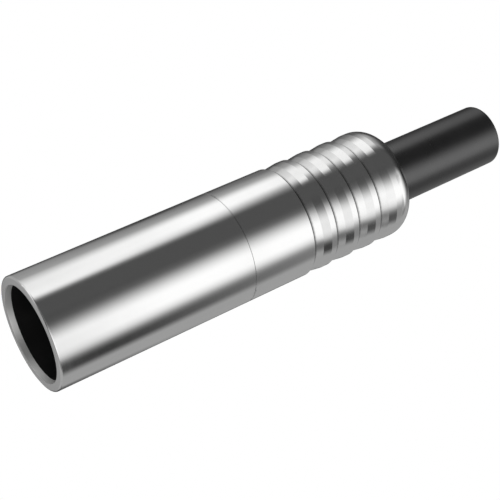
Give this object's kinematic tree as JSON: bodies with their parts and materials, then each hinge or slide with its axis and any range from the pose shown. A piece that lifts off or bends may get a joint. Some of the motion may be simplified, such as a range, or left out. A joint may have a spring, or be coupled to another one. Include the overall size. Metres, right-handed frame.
{
  "type": "three-pin circular audio cable plug",
  "caption": "Metal audio cable plug: smooth front shell with pins set back in a lined mouth, ribbed screw sleeve behind it, and a rubber boot round the cable bore.",
  "frame": {"origin": "centre of the mouth's rim, in the plane that the plug stands on", "axes": "+Z along the plug's axis, from the mouth towards the cable; +Y towards the latch window"},
  "size_m": [0.019, 0.019, 0.091],
  "materials": {
    "plated_shell": "smooth nickel plate, mirror-like with a soft haze",
    "black_plastic": "moulded, matt",
    "contact_metal": "turned and silver plated",
    "spring_metal": "rolled strip",
    "grey_rubber": "moulded",
    "pale_plastic": "moulded, natural",
    "black_rubber": "smooth moulded, satin"
  },
  "bodies": {
    "shell": {"front_shell": "plated_shell", "mouth_liner": "black_plastic", "carrier_front": "black_plastic", "carrier_rear": "black_plastic", "contact_1": "contact_metal", "contact_2": "contact_metal", "contact_3": "contact_metal", "earth_spring": "spring_metal", "spacer_tube": "black_plastic", "neck_ring": "grey_rubber", "collet": "pale_plastic"},
    "boot": {"cable_boot": "black_rubber", "boot_washer": "pale_plastic"},
    "sleeve": {"rear_sleeve": "plated_shell", "clamp_cone": "pale_plastic"}
  },
  "joints": [
    {"name": "boot_slide", "type": "slide", "parent": "shell", "child": "boot", "axis": [0, 0, 1], "range_m": [0, 0.00601]},
    {"name": "sleeve_turn", "type": "hinge", "parent": "boot", "child": "sleeve", "pos_m": [0, 0, 0.05], "axis": [0, 0, 1], "range_deg": [0, 2160]}
  ],
  "couplings": [
    {"joint": "boot_slide", "follows": "sleeve_turn", "m_per_rad": 0.00015915}
  ]
}
